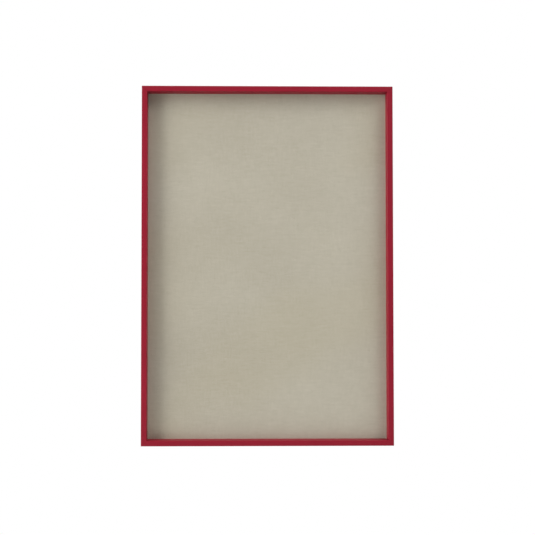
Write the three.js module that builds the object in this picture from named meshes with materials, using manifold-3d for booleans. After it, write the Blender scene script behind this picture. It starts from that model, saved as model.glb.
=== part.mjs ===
// A wall-hung notice board: a linen-covered softboard panel, set deep inside a slim lacquered box frame.
//
// The frame is four mitred rails. Each has a rebate cut from behind, where the panel and its hardboard
// back sit against a shoulder and are held by steel points pressed into the rails. V nails pull the
// mitres together, and two strap hangers with swinging D rings carry the board.
//
// Millimetres. X is right, Z is up, the board faces -Y, and the wall is the plane y = 0 behind it.
// The origin is on the wall, behind the middle of the board.

import * as THREE from "three";
import { mergeVertices } from "three/addons/utils/BufferGeometryUtils.js";
import Module from "manifold-3d";

const wasm = await Module();
wasm.setup();

// Driving dimensions
const gap = 0.3;
const board = { width: 700, height: 1000 };
const rail = { face: 15, depth: 46, wall: 10, recess: 28, frontRadius: 1, backChamfer: 0.6 };
const linen = { thickness: 0.7, flap: 36, edgeRoom: 0.8, swell: 0.2, swellInset: 1 };
const softboard = { thickness: 9 };
const hardboard = { thickness: 3, edgeRoom: 0.7, cornerCut: 1.5 };
const bumper = { radius: 4.5, height: 5, edgeRadius: 1.2, fromSide: 40, fromBottom: 5 };
const hanger = { fromTop: 250, fromSide: 6.5, width: 7, sheet: 1, length: 28, screwDrops: [13.5, 22] };
const eye = { radius: 1.1, curlDegrees: 290 };
const ring = { wireRadius: 0.8, halfWidth: 5.2, cornerRadius: 1.2, crownCentre: 3.5 };
const screw = { headRadius: 3, headHeight: 1.9, headEdge: 1.3, shankRadius: 1.45, length: 15 };
const thread = { depth: 0.4, pitch: 1.5, turns: 7, tip: 2.4 };
const crossRecess = { width: 0.9, span: 3.4, depth: 1.1 };
const vNail = { leg: 6.2, apexFromCorner: 8, wing: 0.9, strip: 0.6, height: 10, rows: ["rear", "front"] };
const point = { width: 6, tip: 3.5, length: 15, embedded: 7, strip: 0.5 };
const staple = { crown: 10, leg: 6, wire: 0.6, fromPanelEdge: 22 };

// Planes across the depth, from the front of the frame to the points behind the panel
const frameBack = -bumper.height;
const frameFront = frameBack - rail.depth;
const shoulder = frameFront + rail.recess;
const linenFront = shoulder + gap;
const softboardFront = linenFront + linen.thickness + gap;
const softboardBack = softboardFront + softboard.thickness;
const flapFront = softboardBack + gap;
const flapBack = flapFront + linen.thickness;
const stapleBack = flapBack + gap + staple.wire;
const hardboardBack = stapleBack + gap + hardboard.thickness;
const pointBack = hardboardBack + gap + point.strip;

// Places along a side, counted from its middle
const halfWidth = board.width / 2;
const halfHeight = board.height / 2;
const spread = (count, pitch) => Array.from({ length: count }, (_, i) => (i - (count - 1) / 2) * pitch);
const shortSide = { half: halfWidth, points: spread(3, 220), staples: spread(4, 165) };
const longSide = { half: halfHeight, points: spread(4, 240), staples: spread(6, 165) };
const hangerHeight = halfHeight - hanger.fromTop;
const screwHeights = hanger.screwDrops.map((drop) => hangerHeight - drop);

// The four sides, each turned about Y from the top one. On the right X runs down, and on the left it runs up.
const quarter = Math.PI / 2;
const sides = [
  { key: "top", side: shortSide, at: [0, 0, halfHeight], turn: 0, pilots: [] },
  { key: "right", side: longSide, at: [halfWidth, 0, 0], turn: quarter, pilots: screwHeights.map((z) => -z) },
  { key: "bottom", side: shortSide, at: [0, 0, -halfHeight], turn: 2 * quarter, pilots: [] },
  { key: "left", side: longSide, at: [-halfWidth, 0, 0], turn: -quarter, pilots: screwHeights },
];
const corners = [
  { key: "top_left", at: [-halfWidth, 0, halfHeight], turn: 0 },
  { key: "top_right", at: [halfWidth, 0, halfHeight], turn: quarter },
  { key: "bottom_right", at: [halfWidth, 0, -halfHeight], turn: 2 * quarter },
  { key: "bottom_left", at: [-halfWidth, 0, -halfHeight], turn: -quarter },
];

// Materials
function material(color, roughness, metalness) {
  return new THREE.MeshStandardMaterial({ color, roughness, metalness });
}

const redLacquer = material(0x96263a, 0.38, 0);
const linenCloth = material(0xb6b09e, 0.95, 0);
const softFibre = material(0x9c8560, 0.95, 0);
const brownHardboard = material(0x6b4a32, 0.7, 0);
const zincSteel = material(0xb4b6b8, 0.35, 0.9);
const nickelSteel = material(0xc4c2bd, 0.25, 0.95);
const greyRubber = material(0x4a4a4c, 0.8, 0);

function named(name, geometry, finish) {
  const mesh = new THREE.Mesh(geometry, finish);
  mesh.name = name;
  return mesh;
}

// Cutting and joining

function solidOf(geometry) {
  const loose = geometry.index ? geometry.toNonIndexed() : geometry;
  const bare = new THREE.BufferGeometry().setAttribute("position", loose.getAttribute("position"));
  const merged = mergeVertices(bare, 1e-4);
  const vertProperties = merged.attributes.position.array;
  const triVerts = new Uint32Array(merged.index.array);
  return new wasm.Manifold(new wasm.Mesh({ numProp: 3, vertProperties, triVerts }));
}

function geometryOf(solid) {
  const made = solid.getMesh();
  const geometry = new THREE.BufferGeometry();
  geometry.setAttribute("position", new THREE.BufferAttribute(new Float32Array(made.vertProperties), 3));
  geometry.setIndex(new THREE.BufferAttribute(new Uint32Array(made.triVerts), 1));
  geometry.computeVertexNormals();
  return geometry;
}

function cut(geometry, tools) {
  return geometryOf(tools.reduce((solid, tool) => solid.subtract(solidOf(tool)), solidOf(geometry)));
}

// Basic shapes

function extrude(shape, depth, curveSegments) {
  return new THREE.ExtrudeGeometry(shape, { depth, bevelEnabled: false, curveSegments });
}

// A flat outline drawn in X and Z, made solid from y = back forwards.
function plate(shape, thickness, back, curveSegments = 6) {
  return extrude(shape, thickness, curveSegments).rotateX(quarter).translate(0, back, 0);
}

// A box between two values on each axis.
function block([x0, x1], [y0, y1], [z0, z1]) {
  const geometry = new THREE.BoxGeometry(x1 - x0, y1 - y0, z1 - z0);
  return geometry.translate((x0 + x1) / 2, (y0 + y1) / 2, (z0 + z1) / 2);
}

const centred = (size, middle = 0) => [middle - size / 2, middle + size / 2];

// A cylinder along Y, for round holes.
function rod(radius, [y0, y1], x, z) {
  return new THREE.CylinderGeometry(radius, radius, y1 - y0, 16).translate(x, (y0 + y1) / 2, z);
}

// A strip of even width that follows a bent line, grown by some room on every side.
function stripOutline(line, width, grow = 0) {
  const half = width / 2 + grow;
  const points = line.map(([x, z]) => new THREE.Vector2(x, z));
  const last = points.length - 1;
  const along = (i) => points[i + 1].clone().sub(points[i]).normalize();
  const left = [];
  const right = [];
  points.forEach((corner, i) => {
    const before = along(Math.max(i - 1, 0));
    const after = along(Math.min(i, last - 1));
    const across = new THREE.Vector2(-before.y - after.y, before.x + after.x).normalize();
    const reach = half / across.dot(new THREE.Vector2(-after.y, after.x));
    const overrun = (i === last ? grow : 0) - (i === 0 ? grow : 0);
    const middle = corner.clone().addScaledVector(before, overrun);
    left.push(middle.clone().addScaledVector(across, reach));
    right.unshift(middle.clone().addScaledVector(across, -reach));
  });
  return new THREE.Shape([...left, ...right]);
}

// Rails. A side is drawn as the top one: X runs along it, and its outer face is z = 0.

// The rail's section: x is the distance in from the outer face, y the distance back from the front.
function railSection() {
  const { face, depth, wall, recess, frontRadius, backChamfer } = rail;
  const section = new THREE.Shape();
  section.moveTo(0, frontRadius);
  section.absarc(frontRadius, frontRadius, frontRadius, 2 * quarter, 3 * quarter, false);
  section.lineTo(face - frontRadius, 0);
  section.absarc(face - frontRadius, frontRadius, frontRadius, 3 * quarter, 4 * quarter, false);
  section.lineTo(face, recess);
  section.lineTo(wall, recess);
  section.lineTo(wall, depth);
  section.lineTo(backChamfer, depth);
  section.lineTo(0, depth - backChamfer);
  return section;
}

// The section run along the rail. Each end vertex slides inwards by its distance from the outer face,
// which makes the mitres, and by half of the gap between two rails.
function plainRail(half) {
  const geometry = extrude(railSection(), 1, 4);
  const position = geometry.getAttribute("position");
  const halfMitreGap = gap / Math.SQRT2;
  for (let i = 0; i < position.count; i++) {
    const inwards = position.getX(i);
    const fromFront = position.getY(i);
    const end = position.getZ(i) === 0 ? -1 : 1;
    position.setXYZ(i, end * (half - inwards - halfMitreGap), frameFront + fromFront, -inwards);
  }
  return geometry;
}

// A pilot hole for one hanger screw.
function pilotHole(x) {
  return rod(screw.shankRadius + gap, [frameBack - screw.length - gap, frameBack + 1], x, -hanger.fromSide);
}

function railGeometry({ half, points }, pilots) {
  const leftSlot = vNailSlot().translate(-half, 0, 0);
  const rightSlot = vNailSlot().rotateY(quarter).translate(half, 0, 0);
  return cut(plainRail(half), [leftSlot, rightSlot, ...points.map(pointSlot), ...pilots.map(pilotHole)]);
}

// V nails. Each is drawn for the top left corner, whose outer edge is at x = 0, z = 0.

function vNailOutline(grow) {
  const { apexFromCorner: apex, leg, wing, strip } = vNail;
  const tip = apex - leg;
  const line = [[tip, -apex - wing], [tip, -apex], [apex, -apex], [apex, -tip], [apex + wing, -tip]];
  return stripOutline(line, strip, grow);
}

// One slot takes the nails of a corner, one behind the other.
function vNailSlot() {
  const rows = vNail.rows.length;
  return plate(vNailOutline(gap), rows * (vNail.height + gap) + 2 * gap, frameBack + gap);
}

function vNailGeometry(row) {
  return plate(vNailOutline(0), vNail.height, frameBack - gap - row * (vNail.height + gap));
}

// Panel points, pressed flat into the rail's rebate wall and lying on the hardboard.

function pointOutline(grow) {
  const half = point.width / 2 + grow;
  const top = point.embedded - rail.wall + grow;
  const roundCentre = top - grow - point.length + half;
  const shape = new THREE.Shape();
  shape.moveTo(0, top);
  shape.lineTo(-half, top - point.tip);
  shape.lineTo(-half, roundCentre);
  shape.absarc(0, roundCentre, half, 2 * quarter, 4 * quarter, false);
  shape.lineTo(half, top - point.tip);
  return shape;
}

const pointGeometry = () => plate(pointOutline(0), point.strip, pointBack, 4);
const pointSlot = (x) => plate(pointOutline(gap), point.strip + 2 * gap, pointBack + gap).translate(x, 0, 0);

// Staples. The crown lies on the cloth's flap, and two legs go through it into the softboard.

const panelEdge = rail.wall + linen.edgeRoom;
const stapleLine = -panelEdge - staple.fromPanelEdge;

function stapleGeometry() {
  const half = staple.crown / 2;
  const line = [[-half, -staple.leg], [-half, 0], [half, 0], [half, -staple.leg]];
  const drawn = extrude(stripOutline(line, staple.wire), staple.wire, 1);
  return drawn.translate(0, stapleBack - staple.wire / 2, stapleLine - staple.wire / 2);
}

function stapleHoles(x) {
  const width = staple.wire + 2 * gap;
  const deepest = stapleBack - staple.leg - staple.wire;
  const legs = [x - staple.crown / 2, x + staple.crown / 2];
  return legs.map((leg) => block(centred(width, leg), [deepest, frameBack], centred(width, stapleLine)));
}

// The staple holes of all four sides, carried to the panel.
function allStapleHoles() {
  return sides.flatMap(({ side, at, turn }) => {
    const holes = side.staples.flatMap(stapleHoles);
    return holes.map((hole) => hole.rotateY(turn).translate(...at));
  });
}

// One side: its rail, and the points and staples along it.
function sideGroup({ key, side, at, turn, pilots }) {
  const group = new THREE.Group();
  group.add(named(`${key}_rail`, railGeometry(side, pilots), redLacquer));
  side.points.forEach((x, i) => {
    group.add(named(`${key}_panel_point_${i + 1}`, pointGeometry().translate(x, 0, 0), zincSteel));
  });
  side.staples.forEach((x, i) => {
    group.add(named(`${key}_staple_${i + 1}`, stapleGeometry().translate(x, 0, 0), zincSteel));
  });
  group.position.set(...at);
  group.rotation.y = turn;
  return group;
}

function cornerGroup({ key, at, turn }) {
  const group = new THREE.Group();
  vNail.rows.forEach((row, i) => group.add(named(`${key}_v_nail_${row}`, vNailGeometry(i), zincSteel)));
  group.position.set(...at);
  group.rotation.y = turn;
  return group;
}

// The panel: the cloth goes over the front and round the edges, and comes back in as a flap behind.
// The frame's shoulder presses its rim, and the field inside the frame stands a little proud.

const panelWidth = board.width - 2 * panelEdge;
const panelHeight = board.height - 2 * panelEdge;

// A block of the panel's size, drawn in by an inset on all four edges.
function panelBlock(inset, front, back) {
  return block(centred(panelWidth - 2 * inset), [front, back], centred(panelHeight - 2 * inset));
}

function linenCoverGeometry() {
  const hollow = panelBlock(linen.thickness, linenFront + linen.thickness, flapFront);
  const backWindow = panelBlock(linen.flap, softboardBack, frameBack);
  const pressedRim = rail.face - panelEdge + linen.swellInset;
  const swollenField = panelBlock(pressedRim, linenFront - linen.swell, linenFront + gap);
  const cloth = solidOf(panelBlock(0, linenFront, flapBack)).add(solidOf(swollenField));
  return cut(geometryOf(cloth), [hollow, backWindow, ...allStapleHoles()]);
}

function softboardGeometry() {
  return cut(panelBlock(linen.thickness + gap, softboardFront, softboardBack), allStapleHoles());
}

function hardboardGeometry() {
  const halfX = halfWidth - rail.wall - hardboard.edgeRoom;
  const halfZ = halfHeight - rail.wall - hardboard.edgeRoom;
  const cutX = halfX - hardboard.cornerCut;
  const cutZ = halfZ - hardboard.cornerCut;
  const shape = new THREE.Shape();
  shape.moveTo(halfX, cutZ);
  shape.lineTo(cutX, halfZ);
  shape.lineTo(-cutX, halfZ);
  shape.lineTo(-halfX, cutZ);
  shape.lineTo(-halfX, -cutZ);
  shape.lineTo(-cutX, -halfZ);
  shape.lineTo(cutX, -halfZ);
  shape.lineTo(halfX, -cutZ);
  return plate(shape, hardboard.thickness, hardboardBack);
}

// Hangers. Each is drawn with its pivot's line at z = 0, and the strap's underside at y = 0.

const curlRadius = eye.radius + hanger.sheet;

// The strap seen from its edge, with x away from the frame: a flat tail, and a curl round the ring's bar.
function strapProfile() {
  const curlStart = 2 * quarter;
  const curlEnd = curlStart - THREE.MathUtils.degToRad(eye.curlDegrees);
  const shape = new THREE.Shape();
  shape.moveTo(0, -hanger.length);
  shape.lineTo(0, 0);
  shape.absarc(curlRadius, 0, curlRadius, curlStart, curlEnd, true);
  shape.absarc(curlRadius, 0, eye.radius, curlEnd, curlStart, false);
  shape.lineTo(hanger.sheet, -hanger.length);
  return shape;
}

// The strap seen from behind, with a round end to its tail.
function strapOutline() {
  const half = hanger.width / 2;
  const shape = new THREE.Shape();
  shape.moveTo(half, 2 * curlRadius);
  shape.lineTo(-half, 2 * curlRadius);
  shape.lineTo(-half, half - hanger.length);
  shape.absarc(0, half - hanger.length, half, 2 * quarter, 4 * quarter, false);
  return shape;
}

// The profile is extruded along Z, then turned so that its own x and y become Y and Z.
function strapGeometry() {
  const bent = extrude(strapProfile(), hanger.width, 16).translate(0, 0, -hanger.width / 2);
  bent.rotateZ(quarter).rotateY(quarter);
  const rounded = solidOf(bent).intersect(solidOf(plate(strapOutline(), 4 * curlRadius, 3 * curlRadius, 8)));
  const reach = centred(2 * hanger.length);
  const holes = hanger.screwDrops.map((drop) => rod(screw.shankRadius + gap, reach, 0, -drop));
  return cut(geometryOf(rounded), holes);
}

// The ring's centre line as it hangs: a D with its straight bar on the pivot.
class RingLine extends THREE.Curve {
  constructor() {
    super();
    const { halfWidth: half, cornerRadius: corner, crownCentre: crown } = ring;
    this.flat = new THREE.Path();
    this.flat.moveTo(0, 0);
    this.flat.lineTo(corner - half, 0);
    this.flat.absarc(corner - half, -corner, corner, quarter, 2 * quarter, false);
    this.flat.lineTo(-half, -crown);
    this.flat.absarc(0, -crown, half, 2 * quarter, 4 * quarter, false);
    this.flat.lineTo(half, -corner);
    this.flat.absarc(half - corner, -corner, corner, 0, quarter, false);
    this.flat.lineTo(0, 0);
  }

  getPoint(t) {
    const { x, y } = this.flat.getPointAt(t);
    return new THREE.Vector3(x, curlRadius, y);
  }
}

// The wire is one closed loop, so the tube has no ends.
const ringGeometry = () => new THREE.TubeGeometry(new RingLine(), 44, ring.wireRadius, 10, true);

// A pan-head screw turned about Y, with the underside of its head at y = 0 and a cross recess.
function screwGeometry() {
  const { headRadius, headHeight, headEdge, shankRadius, length } = screw;
  const root = shankRadius - thread.depth;
  const threadStart = -length + thread.tip;
  const path = new THREE.Path();
  path.moveTo(0, -length);
  for (let i = 0; i < thread.turns; i++) {
    path.lineTo(root, threadStart + i * thread.pitch);
    path.lineTo(shankRadius, threadStart + (i + 0.5) * thread.pitch);
  }
  path.lineTo(root, threadStart + thread.turns * thread.pitch);
  path.lineTo(root, 0);
  path.lineTo(headRadius, 0);
  path.lineTo(headRadius, headHeight - headEdge);
  path.absarc(headRadius - headEdge, headHeight - headEdge, headEdge, 0, quarter, false);
  path.lineTo(0, headHeight);
  const { width, span, depth } = crossRecess;
  const slots = [0, quarter].map((angle) => {
    return block(centred(width), [headHeight - depth, 2 * headHeight], centred(span)).rotateY(angle);
  });
  return cut(new THREE.LatheGeometry(path.getPoints(2), 12), slots);
}

function hangerGroup(key, x) {
  const group = new THREE.Group();
  group.add(named(`${key}_hanger_strap`, strapGeometry(), nickelSteel));
  group.add(named(`${key}_d_ring`, ringGeometry(), nickelSteel));
  hanger.screwDrops.forEach((drop, i) => {
    const mesh = named(`${key}_hanger_screw_${i + 1}`, screwGeometry(), zincSteel);
    mesh.position.set(0, hanger.sheet + gap, -drop);
    group.add(mesh);
  });
  group.position.set(x, frameBack + gap, hangerHeight);
  return group;
}

// A bumper: a soft button that keeps the frame's lower corner off the wall.
function bumperGeometry() {
  const { radius, height, edgeRadius } = bumper;
  const path = new THREE.Path();
  path.moveTo(0, gap);
  path.lineTo(radius, gap);
  path.lineTo(radius, height - edgeRadius);
  path.absarc(radius - edgeRadius, height - edgeRadius, edgeRadius, 0, quarter, false);
  path.lineTo(0, height);
  return new THREE.LatheGeometry(path.getPoints(3), 20);
}

function bumperMesh(key, x) {
  const mesh = named(`${key}_wall_bumper`, bumperGeometry(), greyRubber);
  mesh.position.set(x, frameBack, bumper.fromBottom - halfHeight);
  return mesh;
}

const noticeBoard = new THREE.Group();
noticeBoard.name = "notice_board";
sides.forEach((side) => noticeBoard.add(sideGroup(side)));
corners.forEach((corner) => noticeBoard.add(cornerGroup(corner)));
noticeBoard.add(named("linen_cover", linenCoverGeometry(), linenCloth));
noticeBoard.add(named("softboard_core", softboardGeometry(), softFibre));
noticeBoard.add(named("hardboard_back", hardboardGeometry(), brownHardboard));
noticeBoard.add(hangerGroup("left", hanger.fromSide - halfWidth));
noticeBoard.add(hangerGroup("right", halfWidth - hanger.fromSide));
noticeBoard.add(bumperMesh("left", bumper.fromSide - halfWidth));
noticeBoard.add(bumperMesh("right", halfWidth - bumper.fromSide));

export default noticeBoard;
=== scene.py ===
import math

import bmesh
import bpy
from mathutils import Matrix, Vector, noise


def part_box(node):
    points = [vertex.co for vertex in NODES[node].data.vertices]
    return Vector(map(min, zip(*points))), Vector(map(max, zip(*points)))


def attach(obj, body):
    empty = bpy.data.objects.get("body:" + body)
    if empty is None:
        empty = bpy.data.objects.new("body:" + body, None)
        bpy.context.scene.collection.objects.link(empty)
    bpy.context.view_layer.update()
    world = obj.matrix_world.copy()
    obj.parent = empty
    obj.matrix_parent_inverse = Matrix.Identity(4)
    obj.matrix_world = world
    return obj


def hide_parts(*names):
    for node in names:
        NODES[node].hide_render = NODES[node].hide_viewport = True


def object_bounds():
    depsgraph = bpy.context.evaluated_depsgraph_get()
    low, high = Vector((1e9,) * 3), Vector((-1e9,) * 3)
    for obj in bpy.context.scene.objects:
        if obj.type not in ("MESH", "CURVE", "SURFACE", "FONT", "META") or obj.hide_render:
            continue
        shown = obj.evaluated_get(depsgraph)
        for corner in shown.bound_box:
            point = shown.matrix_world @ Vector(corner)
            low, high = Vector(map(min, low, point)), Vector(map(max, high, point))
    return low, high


# The looks of a wall-hung notice board: crimson lacquer, natural linen, hardboard, steel and rubber.
# Metres. X is right, Z is up, the board faces -Y, and the wall is the plane y = 0 behind it.

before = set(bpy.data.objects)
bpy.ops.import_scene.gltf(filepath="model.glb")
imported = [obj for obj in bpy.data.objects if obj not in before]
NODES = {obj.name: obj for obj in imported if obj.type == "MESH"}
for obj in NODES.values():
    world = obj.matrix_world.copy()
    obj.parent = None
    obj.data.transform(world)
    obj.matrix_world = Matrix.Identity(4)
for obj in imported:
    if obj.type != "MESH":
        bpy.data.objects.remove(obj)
CAD_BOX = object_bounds()
MM = 0.001
ALONG_X, ALONG_Y, ALONG_Z = 0, 1, 2
SIDES = {"top": ALONG_X, "right": ALONG_Z, "bottom": ALONG_X, "left": ALONG_Z}
HANDS = ("left", "right")

# Places that the pieces share, from the construction's boxes, and then three of its own measures: the
# rails' thickness behind the shoulder, the recess's depth, and the room left between neighbours
BOARD_HIGH = CAD_BOX[1]
HALF_WIDTH, HALF_HEIGHT = BOARD_HIGH.x, BOARD_HIGH.z
TOP_RAIL_LOW, TOP_RAIL_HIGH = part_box("top_rail")
RAIL_FACE = TOP_RAIL_HIGH.z - TOP_RAIL_LOW.z
RAIL_FRONT, RAIL_BACK = TOP_RAIL_LOW.y, TOP_RAIL_HIGH.y
LINEN_LOW, LINEN_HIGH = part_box("linen_cover")
REBATE_WALL = 10 * MM
RECESS = 28 * MM
SHOULDER = RAIL_FRONT + RECESS
ROOM = 0.3 * MM

# Edges that turn by more than this stay sharp in the shading
SHARP_DEGREES = 35

# Camera and light

CAMERA_PLACE = (-0.0838, -2.0287, -0.0769)
CAMERA_PITCH = 1.18
CAMERA_YAW = 0.7
LENS = 48
CAMERA_SHIFT = (0.04, 0.02)

# The share of full brightness that comes from all round
AMBIENT = 0.13

# Each lamp's place, its width, and its share in the brightness of the board's face or back
SOFT_BOXES = {
    "left_light": {"place": (-5.2, -2.1, 0.6), "size": 2.6, "share": 0.32},
    "top_right_light": {"place": (3.0, -1.8, 4.0), "size": 3.0, "share": 0.27},
    "top_left_light": {"place": (-4.35, -2.9, 2.9), "size": 2.5, "share": 0.12},
    "rear_light": {"place": (0.6, 6.0, 3.4), "size": 3.0, "share": 0.45},
    "rear_fill_light": {"place": (4.5, 5.0, -0.2), "size": 1.8, "share": 0.2},
}

FLOOR = {"height": -1.2, "middle": -2.2, "radius": 3.4, "fade_start": 2.2, "sides": 128}


def make_camera():
    data = bpy.data.cameras.new("camera")
    data.lens = LENS
    data.shift_x, data.shift_y = CAMERA_SHIFT
    camera = bpy.data.objects.new("camera", data)
    camera.location = CAMERA_PLACE
    camera.rotation_euler = (math.radians(90 + CAMERA_PITCH), 0, math.radians(-CAMERA_YAW))
    bpy.context.scene.collection.objects.link(camera)
    bpy.context.scene.camera = camera


def make_soft_box(name, place, size, share):
    """A square lamp that faces the board and gives the side it shines on that share of full brightness."""
    place = Vector(place)
    facing = abs(place.y) / place.length
    data = bpy.data.lights.new(name, "AREA")
    data.size = size
    data.energy = share * (math.pi * place.length) ** 2 / facing
    lamp = bpy.data.objects.new(name, data)
    lamp.location = place
    lamp.rotation_euler = (-place).to_track_quat("-Z", "Y").to_euler()
    bpy.context.scene.collection.objects.link(lamp)


def make_world():
    """Even light on the object, and plain white wherever the camera, gloss or glass sees past it."""
    world = bpy.data.worlds.new("studio")
    bpy.context.scene.world = world
    world.use_nodes = True
    nodes, links = world.node_tree.nodes, world.node_tree.links
    rays = nodes.new("ShaderNodeLightPath").outputs
    seen = rays["Is Camera Ray"]
    for other in ("Is Glossy Ray", "Is Transmission Ray"):
        either = nodes.new("ShaderNodeMath")
        either.operation = "MAXIMUM"
        links.new(seen, either.inputs[0])
        links.new(rays[other], either.inputs[1])
        seen = either.outputs[0]
    strength = nodes.new("ShaderNodeMapRange")
    strength.inputs["To Min"].default_value = AMBIENT
    strength.inputs["To Max"].default_value = 1.0
    links.new(seen, strength.inputs["Value"])
    background = nodes["Background"]
    background.inputs["Color"].default_value = (1, 1, 1, 1)
    links.new(strength.outputs[0], background.inputs["Strength"])


# Finishes

THREAD = 0.75 * MM
# How far apart the noise of neighbouring threads lies, and how deep a thread dips under a crossing
THREAD_STEP = 17.37
THREAD_DIP = 0.4
# Where the noise of the linen's broad clouds and of its yellowing starts: partly the cloth's real uneven
# tone, and partly painted light, since the starts were sought so that these broad tone changes follow how
# brightly the light falls across the board
CLOUD_AND_PAINTED_LIGHT_START = (6.31, 0, 3.91)
YELLOWING_AND_PAINTED_LIGHT_START = (6.74, 0, -8.49)
# The wire screen that hardboard is pressed on, and the ways in which its longest chips lie
SCREEN_PITCH = 1.3 * MM
CHIP_LEANS = (15, 58, 104, 149)
# Overspray on bare wood: the reach of its speckles, and where it starts and is full, outwards from the edge
OVERSPRAY = {"speckle": 5 * MM, "start": -1.0 * MM, "full": 2.2 * MM}


class Finish:
    """A material in the making. Each method adds a node and returns the socket that carries its result."""

    def __init__(self, name, roughness, specular=0.5, metallic=0.0):
        self.material = bpy.data.materials.new(name)
        self.material.use_nodes = True
        self.nodes = self.material.node_tree.nodes
        self.shader = self.nodes["Principled BSDF"]
        self.shader.inputs["Roughness"].default_value = roughness
        self.shader.inputs["Specular IOR Level"].default_value = specular
        self.shader.inputs["Metallic"].default_value = metallic
        self.place = self.nodes.new("ShaderNodeTexCoord").outputs["Object"]

    def feed(self, socket, value):
        if isinstance(value, bpy.types.NodeSocket):
            self.material.node_tree.links.new(value, socket)
        else:
            socket.default_value = value

    def noise(self, cells, detail=2.0, lean=0.0, start=(0, 0, 0)):
        """Noise with its own count of cells per metre along X, Y and Z, leaning some degrees about Y.

        Its start is where its own origin lies."""
        mapping = self.nodes.new("ShaderNodeMapping")
        mapping.vector_type = "TEXTURE"
        self.feed(mapping.inputs["Vector"], self.place)
        mapping.inputs["Location"].default_value = start
        mapping.inputs["Rotation"].default_value = (0, math.radians(lean), 0)
        mapping.inputs["Scale"].default_value = [1 / count for count in cells]
        made = self.nodes.new("ShaderNodeTexNoise")
        self.feed(made.inputs["Vector"], mapping.outputs["Vector"])
        made.inputs["Scale"].default_value = 1.0
        made.inputs["Detail"].default_value = detail
        return made.outputs["Fac"]

    def math(self, operation, *values):
        made = self.nodes.new("ShaderNodeMath")
        made.operation = operation
        for socket, value in zip(made.inputs, values):
            self.feed(socket, value)
        return made.outputs[0]

    def axis(self, index):
        parts = self.nodes.new("ShaderNodeSeparateXYZ")
        self.feed(parts.inputs[0], self.place)
        return parts.outputs[index]

    def thread_noise(self, along, across, per_metre, seed=0.0):
        """Noise that runs along each thread and starts afresh in the next one."""
        number = self.math("FLOOR", self.math("DIVIDE", across, THREAD))
        joined = self.nodes.new("ShaderNodeCombineXYZ")
        self.feed(joined.inputs["X"], self.math("MULTIPLY", along, per_metre))
        self.feed(joined.inputs["Y"], self.math("MULTIPLY_ADD", number, THREAD_STEP, seed))
        made = self.nodes.new("ShaderNodeTexNoise")
        self.feed(made.inputs["Vector"], joined.outputs["Vector"])
        made.inputs["Scale"].default_value = 1.0
        made.inputs["Detail"].default_value = 1.0
        return made.outputs["Fac"]

    def weave(self, pitch, along, across):
        """The heights of a plain weave's warp and weft.

        Each thread goes over one crossing and under the next."""
        turns = [self.math("MULTIPLY", value, math.pi / pitch) for value in (along, across)]
        waves = [self.math("SINE", turn) for turn in turns]
        over = self.math("MULTIPLY", *waves)
        raised = []
        for wave, dip in zip(waves, (THREAD_DIP, -THREAD_DIP)):
            lift = self.math("MULTIPLY_ADD", over, dip, 1 - THREAD_DIP)
            raised.append(self.math("MULTIPLY", self.math("ABSOLUTE", wave), lift))
        return raised

    def ramp(self, value, start, end):
        """0 at the start, 1 from the end on, and smooth between them."""
        made = self.nodes.new("ShaderNodeMapRange")
        made.interpolation_type = "SMOOTHSTEP"
        self.feed(made.inputs["Value"], value)
        made.inputs["From Min"].default_value = start
        made.inputs["From Max"].default_value = end
        return made.outputs[0]

    def choose(self, second, value, other):
        """The value where second is 0, and the other where it is 1."""
        made = self.nodes.new("ShaderNodeMix")
        self.feed(made.inputs["Factor"], second)
        self.feed(made.inputs["A"], value)
        self.feed(made.inputs["B"], other)
        return made.outputs["Result"]

    def blend(self, factor, low, high):
        made = self.nodes.new("ShaderNodeMix")
        made.data_type = "RGBA"
        self.feed(made.inputs["Factor"], factor)
        self.feed(made.inputs["A"], low)
        self.feed(made.inputs["B"], high)
        return made.outputs["Result"]

    def sum_of(self, *layers):
        """A tone about 0.5 that adds up (noise, weight) layers."""
        total = 0.5
        for value, weight in layers:
            centred = self.math("SUBTRACT", value, 0.5)
            total = self.math("MULTIPLY_ADD", centred, weight, total)
        return total

    def colour(self, value):
        self.feed(self.shader.inputs["Base Color"], value)

    def roughness(self, value, smooth, rough):
        spread = self.math("MULTIPLY_ADD", value, rough - smooth, smooth)
        self.feed(self.shader.inputs["Roughness"], spread)

    def bump(self, height, depth, strength=1.0):
        made = self.nodes.new("ShaderNodeBump")
        made.inputs["Strength"].default_value = strength
        made.inputs["Distance"].default_value = depth
        self.feed(made.inputs["Height"], height)
        self.feed(self.shader.inputs["Normal"], made.outputs["Normal"])


def colour(red, green, blue):
    """A colour from its sRGB values out of 255, as the linear values that shaders take."""
    def linear(value):
        share = value / 255
        return share / 12.92 if share <= 0.04045 else ((share + 0.055) / 1.055) ** 2.4

    return (linear(red), linear(green), linear(blue), 1.0)


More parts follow.
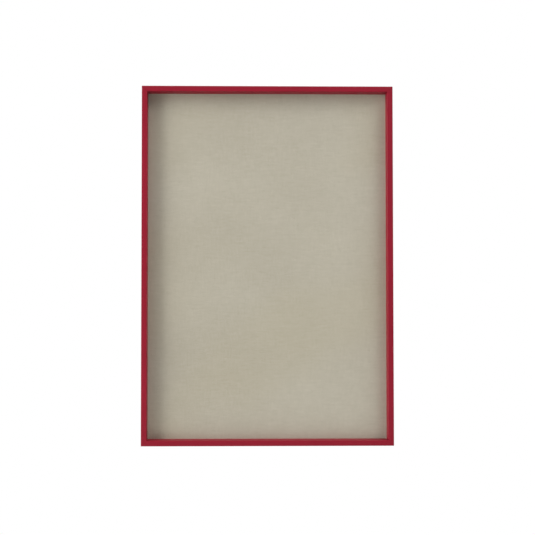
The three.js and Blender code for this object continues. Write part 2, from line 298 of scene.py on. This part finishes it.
def linen_finish():
    """Plain-woven natural linen: threads of uneven tone and thickness, with slubs, most in the weft."""
    finish = Finish("linen", roughness=0.9, specular=0.15)
    across, up = finish.axis(ALONG_X), finish.axis(ALONG_Z)
    weft_tone = finish.thread_noise(across, up, per_metre=45)
    warp_tone = finish.thread_noise(up, across, per_metre=35)
    weft_slub = finish.ramp(finish.thread_noise(across, up, per_metre=60, seed=3.7), 0.72, 0.8)
    warp_slub = finish.ramp(finish.thread_noise(up, across, per_metre=60, seed=8.1), 0.78, 0.84)
    streak = finish.noise((30, 30, 260), detail=1.0)
    blotch = finish.noise((30, 30, 40), detail=3.0)
    # Broad clouds of tone, placed so that they also paint in how unevenly the light falls across the board
    cloud = finish.noise((3.2, 3.2, 3.2), detail=1.0, start=CLOUD_AND_PAINTED_LIGHT_START)
    warp_height, weft_height = finish.weave(THREAD, across, up)
    weft_on_top = finish.math("GREATER_THAN", weft_height, warp_height)
    thread_tone = finish.choose(weft_on_top, warp_tone, weft_tone)
    slub = finish.choose(weft_on_top, warp_slub, weft_slub)
    tone = finish.sum_of((thread_tone, 0.65), (streak, 0.14), (blotch, 0.1), (cloud, 0.37))
    tone = finish.math("MULTIPLY_ADD", slub, 0.3, tone)
    cloth = finish.blend(tone, colour(157, 149, 130), colour(214, 210, 195))
    # Yellowing, also placed so that it paints in how unevenly the light falls across the board
    yellowing = finish.ramp(finish.noise((2.6, 2.6, 3.4), detail=1.0, start=YELLOWING_AND_PAINTED_LIGHT_START), 0.42, 0.72)
    cloth = finish.blend(finish.math("MULTIPLY", yellowing, 0.18), cloth, colour(184, 174, 142))
    flecks = finish.ramp(finish.noise((180, 180, 900), detail=0.0), 0.76, 0.82)
    cloth = finish.blend(finish.math("MULTIPLY", flecks, 0.35), cloth, colour(128, 112, 84))
    height = finish.math("MAXIMUM", warp_height, weft_height)
    # Painted shade: the cloth's colour darkens towards a dark brown in the low dips between the threads,
    # where shade falls
    between = finish.math("MULTIPLY", finish.ramp(height, 0.75, 0.15), 0.45)
    finish.colour(finish.blend(between, cloth, colour(110, 100, 80)))
    uneven = finish.math("MULTIPLY_ADD", slub, 0.8, finish.math("MULTIPLY", thread_tone, 0.8))
    finish.bump(finish.math("ADD", height, uneven), 0.16 * MM, 0.8)
    finish.shader.inputs["Sheen Weight"].default_value = 0.1
    finish.shader.inputs["Sheen Roughness"].default_value = 0.6
    return finish.material


def lacquer_finish():
    """Sprayed satin lacquer with a fine orange peel."""
    finish = Finish("crimson_lacquer", roughness=0.4, specular=0.2)
    cloud = finish.noise((9, 9, 9), detail=3.0)
    peel = finish.noise((420, 420, 420), detail=1.0)
    dust = finish.ramp(finish.noise((700, 700, 700), detail=0.0), 0.8, 0.86)
    finish.colour(finish.blend(cloud, colour(129, 17, 35), colour(145, 20, 43)))
    finish.roughness(cloud, 0.34, 0.46)
    finish.bump(finish.sum_of((peel, 0.6), (dust, 0.4)), 0.03 * MM)
    return finish.material


def bare_wood_finish(name, grain_axis):
    """Planed pale wood with its grain along the rail, and some overspray near the outer edges."""
    finish = Finish(name, roughness=0.7, specular=0.25)
    fine, coarse = [900.0] * 3, [150.0] * 3
    fine[grain_axis], coarse[grain_axis] = 9.0, 2.5
    grain = finish.noise(coarse, detail=3.0)
    fibre = finish.noise(fine, detail=2.0)
    tone = finish.sum_of((grain, 1.3), (fibre, 0.5))
    wood = finish.blend(tone, colour(168, 128, 84), colour(222, 192, 148))
    sideways = finish.math("SUBTRACT", finish.math("ABSOLUTE", finish.axis(ALONG_X)), HALF_WIDTH)
    upwards = finish.math("SUBTRACT", finish.math("ABSOLUTE", finish.axis(ALONG_Z)), HALF_HEIGHT)
    from_edge = finish.math("MAXIMUM", sideways, upwards)
    speckle = finish.noise((1400, 1400, 1400), detail=2.0)
    reach = finish.math("MULTIPLY_ADD", speckle, OVERSPRAY["speckle"], from_edge)
    overspray = finish.ramp(reach, OVERSPRAY["start"], OVERSPRAY["full"])
    finish.colour(finish.blend(overspray, wood, colour(138, 30, 46)))
    finish.bump(tone, 0.12 * MM, 0.7)
    return finish.material


def hardboard_finish():
    """The back of a hardboard sheet: pressed brown fibre with the imprint of the wire screen, and painted
    shade darkening the screen's pits.
    """
    finish = Finish("hardboard", roughness=0.72, specular=0.3)
    cloud = finish.noise((11, 11, 11), detail=4.0)
    fibre = finish.noise((320, 320, 120), detail=3.0)
    chips = 0.0
    for lean in CHIP_LEANS:
        strands = finish.noise((1400, 1400, 300), detail=1.0, lean=lean)
        chips = finish.math("MAXIMUM", finish.ramp(strands, 0.68, 0.78), chips)
    tone = finish.sum_of((cloud, 0.6), (fibre, 0.6))
    brown = finish.blend(tone, colour(94, 64, 41), colour(142, 104, 71))
    brown = finish.blend(finish.math("MULTIPLY", chips, 0.4), brown, colour(168, 132, 95))
    wires = finish.weave(SCREEN_PITCH, finish.axis(ALONG_X), finish.axis(ALONG_Z))
    screen = finish.math("MAXIMUM", *wires)
    # Painted shade: the low pits of the screen's imprint are darkened towards a deep brown, where shade
    # falls
    painted_pit_shade = finish.math("MULTIPLY", finish.ramp(screen, 0.7, 0.2), 0.4)
    finish.colour(finish.blend(painted_pit_shade, brown, colour(58, 38, 24)))
    finish.bump(finish.math("MULTIPLY_ADD", screen, 1.2, tone), 0.2 * MM, 0.9)
    return finish.material


def softboard_finish():
    """Softboard: loose pale fibre, pressed but not hard."""
    finish = Finish("softboard", roughness=0.95, specular=0.1)
    lumps = finish.noise((90, 90, 90), detail=4.0)
    fibre = finish.noise((700, 700, 260), detail=3.0)
    tone = finish.sum_of((lumps, 0.8), (fibre, 0.9))
    finish.colour(finish.blend(tone, colour(128, 104, 70), colour(182, 160, 122)))
    finish.bump(tone, 0.4 * MM, 0.8)
    return finish.material


def steel_finish(name, dark, light, smooth, rough, spangles):
    """Plated steel with crystals of slightly different brightness and fine handling marks."""
    finish = Finish(name, roughness=smooth, metallic=1.0)
    crystal = finish.noise((spangles,) * 3, detail=2.0)
    marks = finish.noise((2600, 300, 300), detail=1.0)
    finish.colour(finish.blend(crystal, dark, light))
    finish.roughness(finish.sum_of((crystal, 0.6), (marks, 0.6)), smooth, rough)
    finish.bump(marks, 0.01 * MM, 0.6)
    return finish.material


def rubber_finish():
    """Moulded grey rubber, a little dusty."""
    finish = Finish("grey_rubber", roughness=0.75, specular=0.3)
    bloom = finish.noise((300, 300, 300), detail=3.0)
    grain = finish.noise((2500, 2500, 2500), detail=1.0)
    finish.colour(finish.blend(bloom, colour(58, 58, 60), colour(88, 88, 89)))
    finish.roughness(bloom, 0.62, 0.85)
    finish.bump(grain, 0.05 * MM, 0.6)
    return finish.material


def floor_finish():
    """A pale matt floor that fades into the white background towards its rim."""
    finish = Finish("pale_floor", roughness=0.85, specular=0.2)
    cloud = finish.noise((3, 3, 3), detail=3.0)
    finish.colour(finish.blend(cloud, colour(226, 226, 224), colour(232, 232, 231)))
    forward = finish.math("SUBTRACT", finish.axis(ALONG_Y), FLOOR["middle"])
    squares = [finish.math("POWER", part, 2.0) for part in (finish.axis(ALONG_X), forward)]
    from_middle = finish.math("SQRT", finish.math("ADD", *squares))
    rim = finish.ramp(from_middle, FLOOR["fade_start"], FLOOR["radius"])
    seen = finish.nodes.new("ShaderNodeLightPath").outputs
    shown = finish.math("MAXIMUM", seen["Is Camera Ray"], seen["Is Glossy Ray"])
    white = finish.nodes.new("ShaderNodeEmission")
    mix = finish.nodes.new("ShaderNodeMixShader")
    finish.feed(mix.inputs["Fac"], finish.math("MULTIPLY", rim, shown))
    finish.feed(mix.inputs[1], finish.shader.outputs[0])
    finish.feed(mix.inputs[2], white.outputs[0])
    finish.feed(finish.nodes["Material Output"].inputs["Surface"], mix.outputs[0])
    return finish.material


LACQUER = lacquer_finish()
BARE_WOOD = {axis: bare_wood_finish(f"bare_wood_{'xyz'[axis]}", axis) for axis in (ALONG_X, ALONG_Z)}
LINEN = linen_finish()
HARDBOARD = hardboard_finish()
SOFTBOARD = softboard_finish()
ZINC = steel_finish(
    "zinc_steel", dark=colour(150, 152, 156), light=colour(196, 198, 202),
    smooth=0.3, rough=0.5, spangles=900,
)
NICKEL = steel_finish(
    "nickel_steel", dark=colour(186, 182, 174), light=colour(214, 211, 204),
    smooth=0.16, rough=0.34, spangles=500,
)
RUBBER = rubber_finish()


# Shape helpers


def new_object(name, vertices, faces, material, sharp_degrees=SHARP_DEGREES):
    """An object from vertices in metres, with its faces turned outwards and its round parts smooth."""
    mesh = bpy.data.meshes.new(name)
    mesh.from_pydata(vertices, [], faces)
    shape = bmesh.new()
    shape.from_mesh(mesh)
    bmesh.ops.recalc_face_normals(shape, faces=shape.faces)
    shape.to_mesh(mesh)
    shape.free()
    smooth_round_parts(mesh, sharp_degrees)
    mesh.materials.append(material)
    made = bpy.data.objects.new(name, mesh)
    bpy.context.scene.collection.objects.link(made)
    return made


def smooth_round_parts(mesh, sharp_degrees=SHARP_DEGREES):
    """Shades the mesh smooth except over its sharp edges."""
    mesh.shade_smooth()
    mesh.set_sharp_from_angle(angle=math.radians(sharp_degrees))


def carve(target, cutter):
    """Cuts one object out of another and takes the cutter away."""
    cutting = target.modifiers.new("cut", "BOOLEAN")
    cutting.operation = "DIFFERENCE"
    cutting.solver = "EXACT"
    cutting.object = cutter
    whole = target.data
    evaluated = target.evaluated_get(bpy.context.evaluated_depsgraph_get())
    target.data = bpy.data.meshes.new_from_object(evaluated)
    target.modifiers.clear()
    bpy.data.meshes.remove(whole)
    bpy.data.objects.remove(cutter)


def ease_edges(made, width):
    """Rounds the edges that turn by more than 40 degrees a little."""
    bevel = made.modifiers.new("eased_edges", "BEVEL")
    bevel.width = width
    bevel.segments = 2
    bevel.limit_method = "ANGLE"
    bevel.angle_limit = math.radians(40)
    bevel.harden_normals = True


def loft(rings, capped=True):
    """Faces that join rings of equal length, one after the other, and the caps at both ends."""
    vertices = [point for ring in rings for point in ring]
    count = len(rings[0])
    faces = []
    for k in range(len(rings) - 1):
        for i in range(count):
            j = (i + 1) % count
            faces.append((k * count + i, k * count + j, (k + 1) * count + j, (k + 1) * count + i))
    if capped:
        last = (len(rings) - 1) * count
        faces.append(tuple(range(count))[::-1])
        faces.append(tuple(range(last, last + count)))
    return vertices, faces


def arc(centre, radius, start_degrees, end_degrees, steps):
    """Points on a circle's arc, with both ends."""
    span = end_degrees - start_degrees
    angles = [math.radians(start_degrees + span * i / steps) for i in range(steps + 1)]
    return [(centre[0] + radius * math.cos(a), centre[1] + radius * math.sin(a)) for a in angles]


# Merging and smoothing for the pieces that come straight from the construction


def smoothing_group():
    """Joins the corners that the faces share, and shades them smooth except over sharp edges."""
    group = bpy.data.node_groups.new("smooth_round_parts", "GeometryNodeTree")
    group.interface.new_socket("Geometry", in_out="INPUT", socket_type="NodeSocketGeometry")
    group.interface.new_socket("Geometry", in_out="OUTPUT", socket_type="NodeSocketGeometry")
    nodes, links = group.nodes, group.links
    start = nodes.new("NodeGroupInput")
    unsplit = nodes.new("GeometryNodeRemoveAttribute")
    unsplit.inputs["Name"].default_value = "custom_normal"
    merge = nodes.new("GeometryNodeMergeByDistance")
    merge.inputs["Distance"].default_value = 0.001 * MM
    smooth = nodes.new("GeometryNodeSetShadeSmooth")
    smooth.domain = "FACE"
    angle = nodes.new("GeometryNodeInputMeshEdgeAngle")
    sharp = nodes.new("FunctionNodeCompare")
    sharp.operation = "GREATER_THAN"
    sharp.inputs["B"].default_value = math.radians(SHARP_DEGREES)
    crease = nodes.new("GeometryNodeSetShadeSmooth")
    crease.domain = "EDGE"
    crease.inputs["Shade Smooth"].default_value = False
    end = nodes.new("NodeGroupOutput")
    links.new(start.outputs[0], unsplit.inputs[0])
    links.new(unsplit.outputs[0], merge.inputs[0])
    links.new(merge.outputs[0], smooth.inputs[0])
    links.new(smooth.outputs[0], crease.inputs[0])
    links.new(angle.outputs[0], sharp.inputs["A"])
    links.new(sharp.outputs[0], crease.inputs["Selection"])
    links.new(crease.outputs[0], end.inputs[0])
    return group


SMOOTHING = smoothing_group()


def dress(node, *materials):
    """Gives a piece of the construction its finish, and smooth shading on its round parts."""
    made = NODES[node]
    made.data.materials.clear()
    for material in materials:
        made.data.materials.append(material)
    smoothing = made.modifiers.new("smooth_round_parts", "NODES")
    smoothing.node_group = SMOOTHING
    return made


# The frame

# The filled joints: how far they lie below the lacquer, half their thickness, how round they are where the
# rails' edges are eased, and the slot of the V nails that they keep clear of
MITRE = {
    "sunk": 0.12 * MM, "half_thickness": 0.13 * MM, "front_round": 1.0 * MM, "back_ease": 0.8 * MM,
    "slot_near": 6.9 * MM, "slot_far": 9.1 * MM, "slot_front": 24.8 * MM,
}


def is_bare(polygon):
    """Bare wood shows on the rails' backs and inside the rebate, behind the shoulder."""
    if polygon.normal.y > 0.5:
        return True
    outwards = polygon.center.x * polygon.normal.x + polygon.center.z * polygon.normal.z
    return polygon.center.y > SHOULDER and outwards < 0


def dress_rails():
    for side, axis in SIDES.items():
        made = dress(f"{side}_rail", LACQUER, BARE_WOOD[axis])
        for polygon in made.data.polygons:
            polygon.material_index = 1 if is_bare(polygon) else 0


def mitre_outline():
    """The rail's section as (inwards, from the front) pairs, clear of the V nails behind."""
    sunk, radius, ease = MITRE["sunk"], MITRE["front_round"], MITRE["back_ease"]
    near, far, front = MITRE["slot_near"], MITRE["slot_far"], MITRE["slot_front"]
    depth = RAIL_BACK - RAIL_FRONT - sunk
    outer_round = arc((radius + sunk, radius + sunk), radius, 180, 270, 6)
    inner_round = arc((RAIL_FACE - radius - sunk, radius + sunk), radius, 270, 360, 6)
    behind = [
        (RAIL_FACE - sunk, RECESS), (REBATE_WALL, RECESS), (REBATE_WALL - sunk, depth),
        (far, depth), (far, front), (near, front), (near, depth),
        (ease, depth), (sunk, depth - ease),
    ]
    return outer_round + inner_round + behind


def make_mitre_fills():
    """The filled joint in each corner, a hairline below the lacquer on both sides of it."""
    step = MITRE["half_thickness"] / math.sqrt(2)
    outline = mitre_outline()
    for vertical, up in (("top", 1), ("bottom", -1)):
        for hand, right in (("left", -1), ("right", 1)):
            rings = []
            for way in (-step, step):
                rings.append([
                    (right * (HALF_WIDTH - inwards + way), RAIL_FRONT + back,
                     up * (HALF_HEIGHT - inwards - way))
                    for inwards, back in outline
                ])
            made = new_object(f"{vertical}_{hand}_mitre_fill", *loft(rings), LACQUER)
            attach(made, "board")


# The linen

# The cloth: its own thickness, its bends and corners, its flaps behind the panel with their pleats, the
# pitch of its grid and that grid's first lines inside the edge
CLOTH = {
    "thickness": 0.6 * MM, "bend": 1.4 * MM, "corner": 2.0 * MM, "inner_corner": 0.3 * MM,
    "flap": 36 * MM, "behind_flap": 0.1 * MM, "pleat": 0.5 * MM, "pleat_width": 5 * MM,
    "pitch": 7 * MM, "near_edge": (0.0, 0.7 * MM, 1.6 * MM, 3.2 * MM),
}
# The stretched field: how far it swells, the flat rim inside the rails, the distance over which the swell
# rises, the share of it that waves, and the waves' count per metre and their place in the noise
FIELD = {
    "swell": 0.2 * MM, "rim": 1 * MM, "rise": 4 * MM,
    "waving": 0.2, "waves_across": 9, "waves_up": 7, "noise_place": 3.7,
}
CLOTH_FRONT = LINEN_LOW.y + FIELD["swell"]
CLOTH_BACK = LINEN_HIGH.y - CLOTH["behind_flap"]


def cloth_profile(depth):
    """A skin of the cloth, some depth under its outer face, as (distance in from the edge, y) pairs.

    It runs from the flap's free edge behind the panel, round the edge and on to the front."""
    bend = CLOTH["bend"]
    flap_steps, bend_steps = 8, 5
    flap = [(CLOTH["flap"] * (1 - i / flap_steps), CLOTH_BACK - depth) for i in range(flap_steps)]
    back_bend = arc((bend, CLOTH_BACK - bend), bend - depth, 90, 180, bend_steps)
    front_bend = arc((bend, CLOTH_FRONT + bend), bend - depth, 180, 270, bend_steps)
    return flap + back_bend + front_bend


def grid_line(half):
    """Places from -half to half, closer together at the ends, where the corners are rounded."""
    pitch, near_edge = CLOTH["pitch"], CLOTH["near_edge"]
    inner_half = half - pitch
    count = round(2 * inner_half / pitch)
    middle = [-inner_half + 2 * inner_half * i / count for i in range(count + 1)]
    return [-half + x for x in near_edge] + middle + [half - x for x in reversed(near_edge)]


def grid_border(xs, zs):
    """The grid's border points, anticlockwise as seen from the front, from the lower left corner."""
    border = [(x, zs[0]) for x in xs[:-1]] + [(xs[-1], z) for z in zs[:-1]]
    return border + [(x, zs[-1]) for x in reversed(xs[1:])] + [(xs[0], z) for z in reversed(zs[1:])]


def cloth_ring(xs, zs, inset, y):
    """The grid's border drawn in by an inset, with round corners and a small pleat in the flaps' mitres."""
    half_x, half_z = xs[-1] - inset, zs[-1] - inset
    corner = max(CLOTH["corner"] - inset, CLOTH["inner_corner"])
    on_flap = inset > CLOTH["bend"] and y > CLOTH_BACK - CLOTH["bend"]
    pleat = CLOTH["pleat"] if on_flap else 0.0
    ring = []
    for x, z in grid_border(xs, zs):
        x *= half_x / xs[-1]
        z *= half_z / zs[-1]
        over_x, over_z = abs(x) - (half_x - corner), abs(z) - (half_z - corner)
        if over_x > 0 and over_z > 0:
            reach = corner / math.hypot(over_x, over_z)
            x = math.copysign(half_x - corner + over_x * reach, x)
            z = math.copysign(half_z - corner + over_z * reach, z)
        from_mitre = max(half_x - abs(x), half_z - abs(z)) / CLOTH["pleat_width"]
        ring.append((x, y + pleat * math.exp(-from_mitre ** 2), z))
    return ring


def field_front(x, z):
    """The stretched field: a little proud inside the frame, with faint waves."""
    rim = RAIL_FACE + FIELD["rim"]
    inside = min(HALF_WIDTH - rim - abs(x), HALF_HEIGHT - rim - abs(z))
    rise = min(max(inside / FIELD["rise"], 0.0), 1.0)
    place = (x * FIELD["waves_across"], FIELD["noise_place"], z * FIELD["waves_up"])
    waving = FIELD["waving"]
    height = 1 - waving + waving * noise.noise(Vector(place))
    return CLOTH_FRONT - FIELD["swell"] * rise * rise * (3 - 2 * rise) * height


def cloth_skin(xs, zs, depth):
    """One face of the cloth as vertices and faces: rings round the edge, then the grid of the field."""
    rings = [cloth_ring(xs, zs, inset, y) for inset, y in cloth_profile(depth)]
    vertices, faces = loft(rings, capped=False)
    across, up = len(xs), len(zs)
    border_start = (len(rings) - 1) * len(rings[0])
    field_start = len(vertices)
    shrink_x, shrink_z = ((line[-1] - CLOTH["bend"]) / line[-1] for line in (xs, zs))
    for z in zs[1:-1]:
        vertices += [(x * shrink_x, field_front(x, z) + depth, z * shrink_z) for x in xs[1:-1]]

    def at(i, k):
        last_i, last_k = across - 1, up - 1
        if k == 0 and i < last_i:
            return border_start + i
        if i == last_i and k < last_k:
            return border_start + last_i + k
        if k == last_k and i > 0:
            return border_start + last_i + last_k + last_i - i
        if i == 0:
            return border_start + 2 * last_i + last_k + last_k - k
        return field_start + (k - 1) * (across - 2) + i - 1

    for k in range(up - 1):
        faces += [(at(i, k), at(i + 1, k), at(i + 1, k + 1), at(i, k + 1)) for i in range(across - 1)]
    return vertices, faces


def make_linen():
    """One thick sheet, stretched over the softboard's front, round its edges, and turned in behind it."""
    xs, zs = grid_line(LINEN_HIGH.x), grid_line(LINEN_HIGH.z)
    outer, outer_faces = cloth_skin(xs, zs, 0.0)
    inner, inner_faces = cloth_skin(xs, zs, CLOTH["thickness"])
    count = len(grid_border(xs, zs))
    step = len(outer)
    free_edge = [(i, (i + 1) % count, step + (i + 1) % count, step + i) for i in range(count)]
    faces = outer_faces + [tuple(step + i for i in reversed(face)) for face in inner_faces] + free_edge
    made = new_object("linen_cloth", outer + inner, faces, LINEN, sharp_degrees=60)
    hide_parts("linen_cover")
    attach(made, "board")


# The hangers

HANGER_HEIGHT = 250 * MM
# Each strap: its sheet, the curl round the ring's bar, the angles that shape its round tail, and its screw
# holes. Drops are measured down from the ring's bar.
STRAP = {
    "width": 7 * MM, "sheet": 1 * MM, "length": 28 * MM, "curl": 1.6 * MM, "curl_degrees": 290,
    "curl_steps": 28, "tail_degrees": range(12, 91, 13), "flat_drops": (18 * MM, 9 * MM, 3 * MM),
    "hole_radius": 1.75 * MM, "hole_sides": 32, "hole_reach": 3 * MM, "screw_drops": (13.5 * MM, 22 * MM),
    "ease": 0.18 * MM,
}
STRAP_BACK = RAIL_BACK + ROOM
RING = {
    "wire": 0.8 * MM, "half": 5.2 * MM, "corner": 1.2 * MM, "crown": 3.5 * MM,
    "bar_shares": (0.66, 0.33, 0.0, -0.33, -0.66), "corner_steps": 8, "bow_steps": 48, "sides": 20,
}
PIVOT_BACK = STRAP_BACK + STRAP["sheet"] / 2 + STRAP["curl"]
# A pan-head screw: its neck flares into the head, its rim is the head's lowest edge, and its crown the flat
# on top
SCREW = {
    "head": 3 * MM, "head_height": 1.9 * MM, "edge": 1.3 * MM, "shank": 1.45 * MM, "thread": 0.4 * MM,
    "length": 15 * MM, "pitch": 1.5 * MM, "turns": 7, "turn_steps": 8, "tip": 2.4 * MM, "point": 0.12 * MM,
    "neck": 0.2 * MM, "rim": 0.15 * MM, "crown": 0.9 * MM, "sides": 40,
}
# How far each hanger's two screws were turned, in degrees
SCREW_TURNS = {"left": (20, 67), "right": (51, 98)}
# The cross in a screw's head: its bars and depth, how narrow its floor is, and how far its cutter reaches
# above the head and how wide it is there
CROSS = {
    "width": 1.0 * MM, "span": 3.5 * MM, "depth": 1.1 * MM, "taper": 0.55, "above": 0.5 * MM, "flare": 1.15,
}
# The bumper's lip against the frame, the step in behind it, and its waist, as insets from its radius and
# heights above its base
BUMPER = {
    "lip_ease": 0.2 * MM, "lip_height": 0.8 * MM, "step": 0.25 * MM, "step_height": 1.1 * MM,
    "waist": 0.35 * MM, "edge": 1.2 * MM, "sides": 48,
}


def strap_path():
    """The middle of the sheet as (z, y, half width): the round tail, and the flat up to the curl."""
    tail_radius = STRAP["width"] / 2
    flat_back = STRAP_BACK + STRAP["sheet"] / 2
    bottom = HANGER_HEIGHT - STRAP["length"]
    path = []
    for degrees in STRAP["tail_degrees"]:
        angle = math.radians(degrees)
        height = bottom + tail_radius * (1 - math.cos(angle))
        path.append((height, flat_back, tail_radius * math.sin(angle)))
    path += [(HANGER_HEIGHT - drop, flat_back, tail_radius) for drop in STRAP["flat_drops"]]
    return path


def strap_rings():
    """The strap's four-cornered section at each step along its path, and on round the ring's bar."""
    half_sheet = STRAP["sheet"] / 2
    rings = []
    for z, y, half in strap_path():
        front, back = y - half_sheet, y + half_sheet
        rings.append([(-half, front, z), (half, front, z), (half, back, z), (-half, back, z)])
    half = STRAP["width"] / 2
    near, far = STRAP["curl"] + half_sheet, STRAP["curl"] - half_sheet
    steps = STRAP["curl_steps"]
    for i in range(steps + 1):
        angle = math.pi - math.radians(STRAP["curl_degrees"]) * i / steps
        out_y, out_z = math.cos(angle), math.sin(angle)
        rings.append([
            (side * half, PIVOT_BACK + out_y * reach, HANGER_HEIGHT + out_z * reach)
            for side, reach in ((-1, near), (1, near), (1, far), (-1, far))
        ])
    return rings


def hole_cutter(height):
    """A round bar along Y, through the strap at some height."""
    sides, reach = STRAP["hole_sides"], STRAP["hole_reach"]
    circle = arc((0.0, height), STRAP["hole_radius"], 0, 360 * (sides - 1) / sides, sides - 1)
    rings = [[(x, y, z) for x, z in circle] for y in (STRAP_BACK - reach, STRAP_BACK + reach)]
    return new_object("cutter", *loft(rings), NICKEL)


def make_strap(hand, x):
    made = new_object(f"{hand}_strap_hanger", *loft(strap_rings()), NICKEL)
    for drop in STRAP["screw_drops"]:
        carve(made, hole_cutter(HANGER_HEIGHT - drop))
    smooth_round_parts(made.data)
    ease_edges(made, STRAP["ease"])
    made.location.x = x
    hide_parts(f"{hand}_hanger_strap")
    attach(made, "board")


def ring_line():
    """The D ring's centre line as (x, z) points, with its straight bar on the pivot."""
    half, corner, crown = RING["half"], RING["corner"], RING["crown"]
    bar = [((half - corner) * share, 0.0) for share in RING["bar_shares"]]
    left = arc((corner - half, -corner), corner, 90, 180, RING["corner_steps"])
    bow = arc((0.0, -crown), half, 180, 360, RING["bow_steps"])
    right = arc((half - corner, -corner), corner, 0, 90, RING["corner_steps"])
    return bar + left + bow + right


def make_ring(hand, x):
    """A round wire along the ring's centre line, closed on itself."""
    line = ring_line()
    wire, sides = RING["wire"], RING["sides"]
    around = [2 * math.pi * k / sides for k in range(sides)]
    rings = []
    for i, (px, pz) in enumerate(line):
        before, after = line[i - 1], line[(i + 1) % len(line)]
        along = Vector((after[0] - before[0], after[1] - before[1])).normalized()
        rings.append([
            (px - along.y * math.cos(a) * wire, PIVOT_BACK + math.sin(a) * wire,
             HANGER_HEIGHT + pz + along.x * math.cos(a) * wire)
            for a in around
        ])
    vertices, faces = loft(rings + rings[:1], capped=False)
    vertices = vertices[:len(line) * sides]
    faces = [tuple(index % len(vertices) for index in face) for face in faces]
    made = new_object(f"{hand}_swing_ring", vertices, faces, NICKEL, sharp_degrees=60)
    made.location.x = x
    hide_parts(f"{hand}_d_ring")
    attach(made, f"{hand}_ring")


def screw_profile():
    """From tip to head as (radius, y, height of the thread there)."""
    root = SCREW["shank"] - SCREW["thread"]
    start, pitch = -SCREW["length"] + SCREW["tip"], SCREW["pitch"]
    steps = SCREW["turn_steps"]
    profile = [(SCREW["point"], -SCREW["length"], 0.0), (root / 2, (start - SCREW["length"]) / 2, 0.0)]
    for i in range(SCREW["turns"] * steps + 1):
        fade = min(1.0, i / steps, SCREW["turns"] - i / steps)
        profile.append((root, start + i * pitch / steps, SCREW["thread"] * fade))
    head, height, edge = SCREW["head"], SCREW["head_height"], SCREW["edge"]
    neck, rim = SCREW["neck"], SCREW["rim"]
    profile += [(root, -neck, 0.0), (root + neck, 0.0, 0.0), (head - rim, 0.0, 0.0), (head, rim, 0.0)]
    profile += [(radius, y, 0.0) for radius, y in arc((head - edge, height - edge), edge, 0, 84, 8)]
    return profile + [(SCREW["crown"], height, 0.0)]


def turned(profile, sides):
    """A closed solid turned about Y, with a helical thread where the profile gives it one."""
    rings = []
    for radius, y, thread in profile:
        ring = []
        for k in range(sides):
            angle = 2 * math.pi * k / sides
            turn = (y / SCREW["pitch"] - k / sides) % 1
            reach = radius + thread * (1 - abs(2 * turn - 1))
            ring.append((reach * math.cos(angle), y, reach * math.sin(angle)))
        rings.append(ring)
    return loft(rings)


def cross_cutter():
    """A cross that narrows as it goes down into the screw's head."""
    wide, far = CROSS["width"] / 2, CROSS["span"] / 2
    quarter = [(wide, wide), (wide, far), (-wide, far), (-wide, wide), (-far, wide), (-far, -wide)]
    outline = quarter + [(-x, -z) for x, z in quarter]
    top = SCREW["head_height"]
    levels = ((top - CROSS["depth"], CROSS["taper"]), (top + CROSS["above"], CROSS["flare"]))
    rings = [[(x * scale, y, z * scale) for x, z in outline] for y, scale in levels]
    return new_object("cutter", *loft(rings), ZINC)


def make_screws(hand, x):
    for i, drop in enumerate(STRAP["screw_drops"]):
        shape = turned(screw_profile(), SCREW["sides"])
        made = new_object(f"{hand}_pan_screw_{i + 1}", *shape, ZINC)
        carve(made, cross_cutter())
        smooth_round_parts(made.data)
        made.rotation_euler.y = math.radians(SCREW_TURNS[hand][i])
        made.location = (x, STRAP_BACK + STRAP["sheet"] + ROOM, HANGER_HEIGHT - drop)
        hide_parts(f"{hand}_hanger_screw_{i + 1}")
        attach(made, "board")


def make_bumper(hand):
    """A turned bumper: a lip against the frame, a step in behind it, and a rounded end at the wall."""
    low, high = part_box(f"{hand}_wall_bumper")
    radius, edge, ease = (high.x - low.x) / 2, BUMPER["edge"], BUMPER["lip_ease"]
    waist = radius - BUMPER["waist"]
    outline = [
        (radius - ease, low.y), (radius, low.y + ease), (radius, low.y + BUMPER["lip_height"]),
        (radius - BUMPER["step"], low.y + BUMPER["step_height"]),
    ]
    outline += arc((waist - edge, high.y - edge), edge, 0, 90, 8)
    shape = turned([(reach, y, 0.0) for reach, y in outline], BUMPER["sides"])
    made = new_object(f"{hand}_rubber_bumper", *shape, RUBBER, sharp_degrees=50)
    made.location = ((low.x + high.x) / 2, 0, (low.z + high.z) / 2)
    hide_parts(f"{hand}_wall_bumper")
    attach(made, "board")


def make_hangers():
    for hand in HANDS:
        low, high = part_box(f"{hand}_hanger_strap")
        x = (low.x + high.x) / 2
        make_strap(hand, x)
        make_ring(hand, x)
        make_screws(hand, x)
        make_bumper(hand)


def dress_hidden_and_back_pieces():
    dress("softboard_core", SOFTBOARD)
    dress("hardboard_back", HARDBOARD)
    for node in NODES:
        if "_v_nail_" in node or "_staple_" in node or "_panel_point_" in node:
            dress(node, ZINC)


def make_floor():
    """A pale disc below the board and in front of it, out of the camera's view, which keeps the shadow."""
    sides, radius = FLOOR["sides"], FLOOR["radius"]
    bpy.ops.mesh.primitive_circle_add(vertices=sides, radius=radius, fill_type="NGON")
    floor = bpy.context.object
    floor.name = "floor"
    floor.data.transform(Matrix.Translation((0, FLOOR["middle"], FLOOR["height"])))
    floor.data.materials.append(floor_finish())


make_camera()
make_world()
for lamp_name, lamp in SOFT_BOXES.items():
    make_soft_box(lamp_name, **lamp)
make_floor()
dress_rails()
dress_hidden_and_back_pieces()
make_mitre_fills()
make_linen()
make_hangers()

bpy.context.scene.view_settings.view_transform = "Standard"
